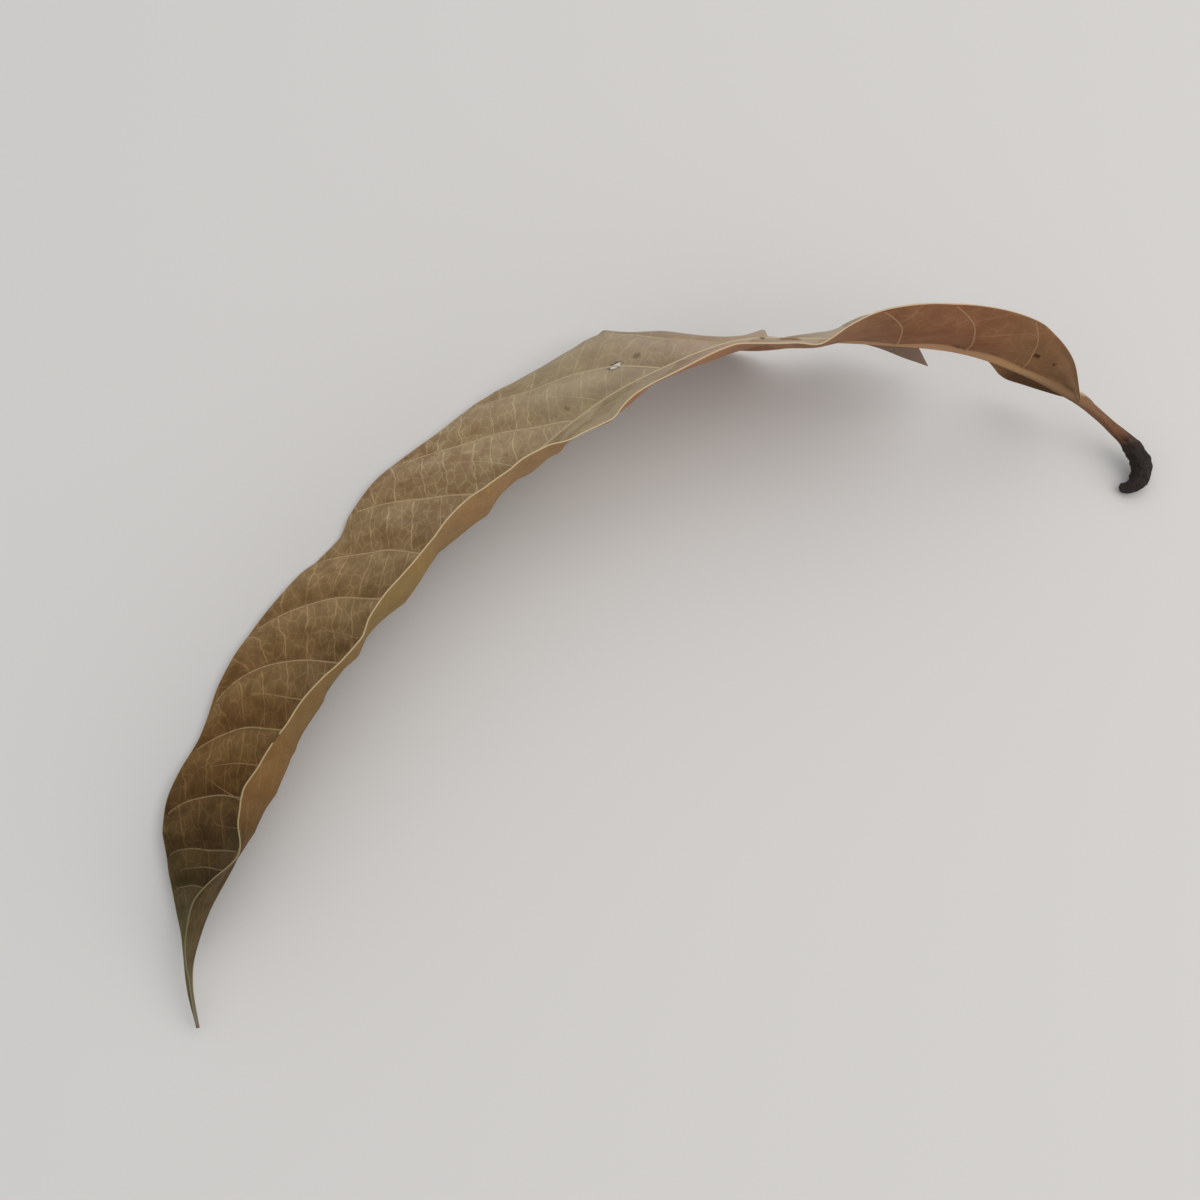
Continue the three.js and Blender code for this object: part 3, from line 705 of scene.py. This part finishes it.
lower_skin = leaf_skin(
    "dry_leaf_lower_face",
    along=((0.0, "614b36"), (0.06, "6e4c32"), (0.12, "73462f"), (0.18, "704931"), (0.25, "8f6951"),
           (0.35, "a27456"), (0.48, "8b6f4f"), (0.58, "816843"), (0.68, "77653b"), (0.75, "6b5731"),
           # The near-black browns at 0.88 and 0.95 are the leaf's own brown deepened by painted shade
           (0.82, "6b4d29"), (0.88, "2d2107"), (0.95, "322a13"), (1.0, "665e4e")),
    veins=((0.0, "96704e"), (0.3, "b08a68"), (0.6, "a08054"), (0.85, "8a6a44"), (1.0, "7a7058")),
    midrib=((0.0, "6f543c"), (0.03, "866749"), (0.06, "a07c57"), (0.12, "a98262"), (0.3, "b89066"),
            (0.8, "8a6c46"), (1.0, "7a7058")),
    midrib_edge=1.05,
    cream=((0.0, "a88a68"), (0.12, "b4946e"), (0.2, "cdb488"), (0.5, "c0a880"), (0.84, "b39d77"),
           (0.88, "93855f"), (0.92, "7c7252"), (1.0, "6e6654")),
    patch="82503a",
    patch_limits=((0.0, "606060"), (0.3, "c0c0c0"), (0.7, "c0c0c0"), (0.9, "202020")),
    # The first number below is a fainter painted shade between the veins
    painted_quilt_shade=0.03, net_strength=0.5, vein_strength=0.3, net_height=0.6,
    spots=((12.3, 5.1, 0.9, 0.5, "3e2416", 0.9), (8.5, 4.7, 0.5, 0.4, "4a2c1c", 0.8),
           (26.8, 2.2, 1.6, 0.6, "5a3822", 0.7), (178.1, 11.1, 0.6, 0.5, "3a2618", 0.9),
           (33.0, -16.0, 8.0, 7.0, "846f62", 0.85), (6.0, -7.0, 9.0, 6.0, "48301b", 0.75),
           (56.5, 16.6, 2.0, 0.35, "5a4434", 0.7), (62.0, 17.9, 0.6, 0.4, "6a4a34", 0.8)))
blade.data.materials.append(upper_skin)
blade.data.materials.append(lower_skin)
# The edges of the cut show the lower skin
material_index = np.zeros(len(blade.data.polygons), np.int32)
first_lower = len(skin_faces[0])
material_index[first_lower:first_lower + len(skin_faces[1]) + len(skin_faces[2])] = 1
blade.data.polygons.foreach_set("material_index", material_index)
print("skin nodes:", len(upper_skin.node_tree.nodes))

# %% [markdown]
# ## The secondary veins
# Each vein is a fine tapering cord that follows the blade from the midrib almost to the margin.
# Curves could be drawn one by one. Geometry Nodes does it by rule: one straight line is placed
# for each vein foot, every point on it asks the flat map of the leaf where it lies on the sheet,
# and the bent line gets a round profile. The sheet is only there to be asked, and goes afterwards.

# %% The sheet that the veins ask
flat_faces = skin_faces[0]
flat_sheet = plain_object("sheet_to_ask", sheet["points"].reshape(-1, 3), flat_faces)
flat_uv = np.stack(np.broadcast_arrays(rows_down, 0.5 + 0.5 * PLACES), -1).reshape(-1, 2)
uv_layer = flat_sheet.data.uv_layers.new(name="leaf_uv")
uv_layer.uv.foreach_set("vector", flat_uv[flat_faces.ravel()].astype(np.float32).ravel())
vein_rows = np.concatenate(VEINS)
# Veins of the low half that would cross the torn place are left out
KEPT_BEFORE_TEAR = 0.02
phase, run, late, reach, strength = vein_rows.T
side = np.repeat((-1.0, 1.0), [len(rows) for rows in VEINS])
foot, run = phase / BLADE_LENGTH, run / BLADE_LENGTH
whole = (foot + KEPT_BEFORE_TEAR < TEAR_START) | (foot > TEAR_END) | (side > 0)
veins = plain_object("leaf_veins", np.zeros((whole.sum(), 3)), [])
VEIN_MEASURES = dict(foot=foot, phase=phase, run=run, late=late, reach=reach, strength=strength,
                     side=side)
for name, values in VEIN_MEASURES.items():
    keep_measure(veins, name, values[whole])
print("vein feet:", whole.sum())

# %% [markdown]
# Dry vein tissue is woody and a little glossier than the skin: pale tan in the middle of the leaf
# and olive brown near the tip.

# %% Vein tissue
FIBRE_SIZE = 0.8
vein_tissue = blank_material("dry_vein_tissue")
tree = vein_tissue.node_tree
vein_share = add(tree, "ShaderNodeAttribute", attribute_name="share").outputs["Fac"]
vein_colours = add(tree, "ShaderNodeValToRGB", {0: vein_share}, stops=(
    (0.0, "8a6446"), (0.2, "9a7450"), (0.35, "b3a282"), (0.6, "aa8f67"), (0.8, "8f744c"),
    (0.9, "635434")))
fibre_place = add(tree, "ShaderNodeTexCoord").outputs["Object"]
fibre = add(tree, "ShaderNodeTexNoise", {"Vector": fibre_place, "Scale": 1 / (FIBRE_SIZE * MM),
                                         "Detail": 3.0})
fibre_light = add(tree, "ShaderNodeMapRange", {0: fibre.outputs[0], 1: 0.3, 2: 0.7, 3: 0.88, 4: 1.1})
tissue = add(tree, "ShaderNodeVectorMath", {0: vein_colours.outputs[0], "Scale": fibre_light.outputs[0]},
             operation="SCALE")
tissue_shader = add(tree, "ShaderNodeBsdfPrincipled", {
    "Base Color": tissue.outputs[0], "Roughness": 0.55, "IOR": 1.45})
add(tree, "ShaderNodeOutputMaterial", {"Surface": tissue_shader.outputs[0]})
print("vein tissue ready")

# %% [markdown]
# Now the tree. Its sizes are named inputs, so finer or thicker veins are one change. Each point of
# a line gets its share q across the half, and u and v from the same rule that placed the veins on
# the flat leaf. The tree ends in real geometry with the tissue on it, which is kept as a mesh.

# %% Geometry Nodes for the veins
VEIN_RADIUS_AT_MIDRIB, VEIN_RADIUS_AT_MARGIN = 0.26, 0.16
POINTS_ON_A_VEIN, VEIN_SIDES = 40, 8
vein_tree = bpy.data.node_groups.new("veins_on_the_sheet", "GeometryNodeTree")
inputs = {}
for name, kind, default in (
        ("Feet", "NodeSocketGeometry", None), ("Sheet", "NodeSocketObject", None),
        ("Radius at midrib", "NodeSocketFloat", VEIN_RADIUS_AT_MIDRIB * MM),
        ("Radius at margin", "NodeSocketFloat", VEIN_RADIUS_AT_MARGIN * MM),
        ("Late power", "NodeSocketFloat", LATE_POWER), ("Waves", "NodeSocketFloat", VEIN_WAVES),
        ("Waver", "NodeSocketFloat", VEIN_WAVER / BLADE_LENGTH),
        ("Points on a vein", "NodeSocketInt", POINTS_ON_A_VEIN),
        ("Sides", "NodeSocketInt", VEIN_SIDES), ("Tissue", "NodeSocketMaterial", None)):
    socket = vein_tree.interface.new_socket(name=name, in_out="INPUT", socket_type=kind)
    if default is not None:
        socket.default_value = default
    inputs[name] = socket.identifier
vein_tree.interface.new_socket(name="Veins", in_out="OUTPUT", socket_type="NodeSocketGeometry")
print("inputs of the tree:", list(inputs))

# %% The path of each vein on the flat map
given = add(vein_tree, "NodeGroupInput").outputs
line = add(vein_tree, "GeometryNodeCurvePrimitiveLine", {"End": (1.0, 0.0, 0.0)})
line = add(vein_tree, "GeometryNodeResampleCurve", {
    "Curve": line.outputs[0], "Count": given["Points on a vein"]})
lines_placed = add(vein_tree, "GeometryNodeInstanceOnPoints", {
    "Points": given["Feet"], "Instance": line.outputs[0]})
lines_real = add(vein_tree, "GeometryNodeRealizeInstances", {0: lines_placed.outputs[0]})
named = {}
for name in VEIN_MEASURES:
    stored = add(vein_tree, "GeometryNodeInputNamedAttribute", {"Name": name}, data_type="FLOAT")
    named[name] = stored.outputs[0]
factor = add(vein_tree, "GeometryNodeSplineParameter").outputs["Factor"]
q = add(vein_tree, "ShaderNodeMath", {0: factor, 1: named["reach"]}, operation="MULTIPLY").outputs[0]
q_late = add(vein_tree, "ShaderNodeMath", {0: q, 1: given["Late power"]}, operation="POWER").outputs[0]
bow = add(vein_tree, "ShaderNodeMath", {0: q_late, 1: q}, operation="SUBTRACT").outputs[0]
bow = add(vein_tree, "ShaderNodeMath", {0: bow, 1: named["late"], 2: q},
          operation="MULTIPLY_ADD").outputs[0]
u = add(vein_tree, "ShaderNodeMath", {0: named["run"], 1: bow, 2: named["foot"]},
        operation="MULTIPLY_ADD").outputs[0]
wave = add(vein_tree, "ShaderNodeMath", {0: q, 1: given["Waves"], 2: named["phase"]},
           operation="MULTIPLY_ADD").outputs[0]
wave = add(vein_tree, "ShaderNodeMath", {0: wave}, operation="SINE").outputs[0]
u = add(vein_tree, "ShaderNodeMath", {0: wave, 1: given["Waver"], 2: u},
        operation="MULTIPLY_ADD").outputs[0]
v = add(vein_tree, "ShaderNodeMath", {0: named["side"], 1: q}, operation="MULTIPLY").outputs[0]
v = add(vein_tree, "ShaderNodeMath", {0: v, 1: 0.5, 2: 0.5}, operation="MULTIPLY_ADD").outputs[0]
map_place = add(vein_tree, "ShaderNodeCombineXYZ", {0: u, 1: v}).outputs[0]
print("nodes for the paths:", len(vein_tree.nodes))

# %% The paths bent on to the sheet and made round
asked = add(vein_tree, "GeometryNodeObjectInfo", {"Object": given["Sheet"]}).outputs["Geometry"]
sheet_place = add(vein_tree, "GeometryNodeInputPosition").outputs[0]
sheet_uv = add(vein_tree, "GeometryNodeInputNamedAttribute", {"Name": "leaf_uv"},
               data_type="FLOAT_VECTOR").outputs[0]
answer = add(vein_tree, "GeometryNodeSampleUVSurface", {
    "Mesh": asked, "Value": sheet_place, "UV Map": sheet_uv, "Sample UV": map_place},
    data_type="FLOAT_VECTOR")
bent_lines = add(vein_tree, "GeometryNodeSetPosition", {
    "Geometry": lines_real.outputs[0], "Position": answer.outputs[0]})
radius = add(vein_tree, "ShaderNodeMapRange", {
    0: q, 3: given["Radius at midrib"], 4: given["Radius at margin"]})
radius = add(vein_tree, "ShaderNodeMath", {0: radius.outputs[0], 1: named["strength"]},
             operation="MULTIPLY")
marked = add(vein_tree, "GeometryNodeStoreNamedAttribute", {
    "Geometry": bent_lines.outputs[0], "Name": "share", "Value": u}, data_type="FLOAT", domain="POINT")
ring = add(vein_tree, "GeometryNodeCurvePrimitiveCircle", {"Resolution": given["Sides"], "Radius": 1.0})
cords = add(vein_tree, "GeometryNodeCurveToMesh", {
    "Curve": marked.outputs[0], "Profile Curve": ring.outputs[0], "Scale": radius.outputs[0],
    "Fill Caps": True})
all_cords = add(vein_tree, "GeometryNodeRealizeInstances", {0: cords.outputs[0]})
finished = add(vein_tree, "GeometryNodeSetMaterial", {
    "Geometry": all_cords.outputs[0], "Material": given["Tissue"]})
add(vein_tree, "NodeGroupOutput", {0: finished.outputs[0]})
print("nodes in all:", len(vein_tree.nodes))

# %% The veins as a plain mesh
growth = veins.modifiers.new("veins_on_the_sheet", "NODES")
growth.node_group = vein_tree
growth[inputs["Sheet"]] = flat_sheet
growth[inputs["Tissue"]] = vein_tissue
bpy.context.view_layer.update()
grown = veins.evaluated_get(bpy.context.evaluated_depsgraph_get())
vein_mesh = bpy.data.meshes.new_from_object(grown)
vein_mesh.shade_smooth()
veins.modifiers.remove(growth)
veins.data = vein_mesh
bpy.data.objects.remove(flat_sheet)
print("vein faces:", len(vein_mesh.polygons), "materials:", [m.name for m in vein_mesh.materials])

# %% [markdown]
# ## The stalk
# The stalk leaves the blade as the midrib does, round and wiry, and ends in the swollen foot that
# once sat on the twig, now black, shrunken and hooked under. It is lofted: rings of points along
# a smooth line, with lengthwise wrinkles and knobs in the radius. Its first ring starts a little
# inside the midrib, so that the two flow together. A pale wing runs down on to it from the margin.

# %% Stalk rings
# Each row: x, y, z and the radius
STALK_STATIONS = np.array([
    (82.4, 49.7, 10.2, 1.0),
    (85.2, 48.3, 8.5, 1.02),
    (87.7, 46.7, 7.1, 1.1),
    (89.9, 45.2, 5.9, 1.25),
    (91.6, 43.8, 4.9, 1.65),
    (93.0, 42.0, 3.9, 1.9),
    (93.9, 40.1, 2.9, 1.95),
    (93.7, 38.2, 2.2, 1.9),
    (92.6, 36.7, 1.8, 1.6),
    (91.2, 36.1, 1.4, 1.2),
    (89.8, 36.4, 1.05, 0.85),
])
STALK_RINGS, STALK_SIDES = 170, 44
STALK_RADIUS_IN_MIDRIB = 0.6
STALK_INSIDE_MIDRIB = 1.2
START_BULGE, END_BULGE = 0.2, 0.35
SWOLLEN_FROM, SWOLLEN_TO = 0.38, 0.52
WING_HEIGHT, WING_SIDE, WING_SPREAD = 1.5, 5.6, 0.33
WING_FULL, WING_END = 0.03, 0.12

base_point = STATIONS[0, :3]
base_along = STATIONS[1, :3] - base_point
base_along /= np.linalg.norm(base_along)
base_face = middle_face[0, 0]
inside_midrib = base_point + STALK_INSIDE_MIDRIB * base_along - base_face * MIDRIB_HEIGHT_AT_BASE / 2
stations = np.vstack((np.append(inside_midrib, STALK_RADIUS_IN_MIDRIB), STALK_STATIONS))
ring_t = np.linspace(0, 1, STALK_RINGS + 1)
rings = through(stations, ring_t)
ring_steps = np.linalg.norm(np.diff(rings[:, :3], axis=0), axis=1)
print("stalk length in mm:", round(float(ring_steps.sum()), 1))

# %% Stalk mesh
ahead = np.gradient(rings[:, :3], axis=0)
ahead /= np.linalg.norm(ahead, axis=1)[:, None]
turn_round = np.linspace(0, 2 * np.pi, STALK_SIDES, endpoint=False)
swollen = smooth_step(ring_t, SWOLLEN_FROM, SWOLLEN_TO)
wing_along = smooth_step(ring_t, 0, WING_FULL) * np.maximum(0, 1 - ring_t / WING_END)
wing = wing_along[:, None] * np.exp(-(((turn_round - WING_SIDE) / WING_SPREAD) ** 2))
stalk_points = []
sideways = np.array((0.0, 0.0, 1.0))
for k, t in enumerate(ring_t):
    sideways = sideways - ahead[k] * (sideways @ ahead[k])
    sideways /= np.linalg.norm(sideways)
    other = np.cross(ahead[k], sideways)
    # Shares of the radius: wrinkles all along, then knobs, crumbs and creases on the foot
    wrinkle = 0.05 * np.sin(5 * turn_round + 3 * np.sin(9 * t)) + 0.035 * np.sin(11 * turn_round + 14 * t)
    knob = 0.05 * np.sin(3 * turn_round + 17 * t) + 0.035 * np.sin(2 * turn_round - 38 * t + 1)
    crumb = 0.025 * np.sin(7 * turn_round + 61 * t) + 0.025 * np.sin(13 * turn_round - 83 * t + 2)
    crease = -0.06 * np.abs(np.sin(37 * t + 1.6 * np.sin(turn_round + 1))) ** 4
    rough = 1 + wrinkle + swollen[k] * (knob + crumb + crease)
    radius_here = rings[k, 3] * rough + WING_HEIGHT * wing[k]
    spoke = np.cos(turn_round)[:, None] * sideways + np.sin(turn_round)[:, None] * other
    stalk_points.append(rings[k, :3] + radius_here[:, None] * spoke + SET_DOWN)
stalk_points = np.concatenate(stalk_points)
first_end = rings[0, :3] - START_BULGE * ahead[0]
last_end = rings[-1, :3] + END_BULGE * ahead[-1]
end_points = np.vstack((first_end, last_end)) + SET_DOWN
ring_number = np.arange((STALK_RINGS + 1) * STALK_SIDES).reshape(STALK_RINGS + 1, STALK_SIDES)
next_number = np.roll(ring_number, -1, axis=1)
walls = np.stack((ring_number[:-1], next_number[:-1], next_number[1:], ring_number[1:]), -1)
walls = walls.reshape(-1, 4)
start_middle = len(stalk_points)
caps = [(start_middle, b, a) for a, b in zip(ring_number[0], next_number[0])]
caps += [(start_middle + 1, a, b) for a, b in zip(ring_number[-1], next_number[-1])]
stalk = plain_object("leaf_stalk", np.vstack((stalk_points, end_points)), [*walls, *caps])
keep_measure(stalk, "share", np.append(np.repeat(ring_t, STALK_SIDES), (0.0, 1.0)))
keep_measure(stalk, "wing", np.append(wing.ravel(), (0.0, 0.0)))
print("stalk faces:", len(stalk.data.polygons))

# %% [markdown]
# A dry leaf stalk is woody: tan where it leaves the blade, reddish brown below, and nearly black
# on the swollen foot, where the soft tissue has rotted and dried. It is rougher than the blade.

# %% Stalk bark
STALK_MOTTLE = 1.6
STALK_GRAIN = 0.35
stalk_bark = blank_material("dry_stalk_bark")
tree = stalk_bark.node_tree
bark_share = add(tree, "ShaderNodeAttribute", attribute_name="share").outputs["Fac"]
bark_place = add(tree, "ShaderNodeTexCoord").outputs["Object"]
mottle = add(tree, "ShaderNodeTexNoise", {"Vector": bark_place, "Scale": 1 / (STALK_MOTTLE * MM),
                                          "Detail": 5.0})
shift = add(tree, "ShaderNodeMapRange", {0: mottle.outputs[0], 1: 0.2, 2: 0.8, 3: -0.05, 4: 0.05})
bark_at = add(tree, "ShaderNodeMath", {0: bark_share, 1: shift.outputs[0]}, operation="ADD")
bark = add(tree, "ShaderNodeValToRGB", {0: bark_at.outputs[0]}, stops=(
    (0.0, "7e5e43"), (0.16, "78563d"), (0.3, "69452e"), (0.385, "523627"), (0.43, "2e231e"),
    (0.55, "231c18"), (0.8, "251e1a"), (1.0, "2d2521")))
grain = add(tree, "ShaderNodeTexNoise", {"Vector": bark_place, "Scale": 1 / (STALK_GRAIN * MM),
                                         "Detail": 4.0})
grain_light = add(tree, "ShaderNodeMapRange", {0: grain.outputs[0], 1: 0.25, 2: 0.75, 3: 0.75, 4: 1.25})
bark_colour = add(tree, "ShaderNodeVectorMath", {0: bark.outputs[0], "Scale": grain_light.outputs[0]},
                  operation="SCALE")
on_wing = add(tree, "ShaderNodeAttribute", attribute_name="wing").outputs["Fac"]
on_wing = add(tree, "ShaderNodeMapRange", {0: on_wing, 1: 0.25, 2: 0.7, 4: 0.9})
bark_colour = add(tree, "ShaderNodeMix", {0: on_wing.outputs[0], 6: bark_colour.outputs[0],
                                          7: paint("c6ae89")}, data_type="RGBA")
bark_bump = add(tree, "ShaderNodeBump", {"Height": grain.outputs[0], "Strength": 0.7,
                                         "Distance": 0.3 * MM})
bark_rough = add(tree, "ShaderNodeMapRange", {0: mottle.outputs[0], 1: 0.3, 2: 0.7, 3: 0.6, 4: 0.8})
bark_shader = add(tree, "ShaderNodeBsdfPrincipled", {
    "Base Color": bark_colour.outputs[2], "Roughness": bark_rough.outputs[0], "IOR": 1.45,
    "Specular IOR Level": 0.25, "Normal": bark_bump.outputs[0]})
add(tree, "ShaderNodeOutputMaterial", {"Surface": bark_shader.outputs[0]})
stalk.data.materials.append(stalk_bark)
print("bark nodes:", len(tree.nodes))

# %% [markdown]
# ## Floor and light
# The leaf lies on a plain pale surface in soft daylight that comes from behind and the right. A
# large area light stands for the window and gives the soft shadow. A second one, at the right and
# in front, stands for a pale wall that throws light back, and a pale world fills in. The Standard
# view keeps the chosen colours as they are.

# %% Floor and light
FLOOR_HALF_SIZE = 1500.0
FLOOR_GAP = 0.12
corners = [(x, y, -FLOOR_GAP) for x, y in ((-1, -1), (1, -1), (1, 1), (-1, 1))]
corners = np.array(corners) * (FLOOR_HALF_SIZE, FLOOR_HALF_SIZE, 1)
floor = plain_object("pale_floor", corners, [(0, 1, 2, 3)])
# Matt card: almost no shine, so that only the soft shadow shows on it
pale_card = blank_material("pale_matt_card")
tree = pale_card.node_tree
card_shader = add(tree, "ShaderNodeBsdfPrincipled", {"Base Color": paint("cbc8c5"), "Roughness": 0.9,
                                                     "Specular IOR Level": 0.2})
add(tree, "ShaderNodeOutputMaterial", {"Surface": card_shader.outputs[0]})
floor.data.materials.append(pale_card)

SKY_TINT = (0.96, 0.98, 1.0, 1.0)
SKY_STRENGTH = 0.74
scene = bpy.context.scene
scene.view_settings.view_transform = "Standard"
world = bpy.data.worlds.new("soft_daylight")
world.use_nodes = True
sky = world.node_tree.nodes["Background"].inputs
sky["Color"].default_value = SKY_TINT
sky["Strength"].default_value = SKY_STRENGTH
scene.world = world

# Name, place and size in metres, watts and tint
LIGHTS = (("window", (0.4, 0.45, 0.9), 1.3, 3.4, (1.0, 0.985, 0.96)),
          ("pale_wall", (0.75, -0.3, 0.7), 1.0, 4.3, (1.0, 0.98, 0.96)))
for name, place, size, watts, tint in LIGHTS:
    lamp = bpy.data.lights.new(name, "AREA")
    lamp.size = size
    lamp.energy = watts
    lamp.color = tint
    light = bpy.data.objects.new(name, lamp)
    light.location = place
    light.rotation_euler = (-Vector(place)).to_track_quat("-Z", "Y").to_euler()
    scene.collection.objects.link(light)
print("lights:", [name for name, *_ in LIGHTS])

# %% [markdown]
# ## Into the frame
# The blade and the stalk stand for the imported solids of the same name, and everything rides on
# the one body.

# %% Into the frame
for piece, material_slot in ((blade, "blade"), (veins, "blade"), (stalk, "stalk")):
    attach(piece, "root")
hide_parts("blade")
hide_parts("stalk")
bpy.context.view_layer.update()
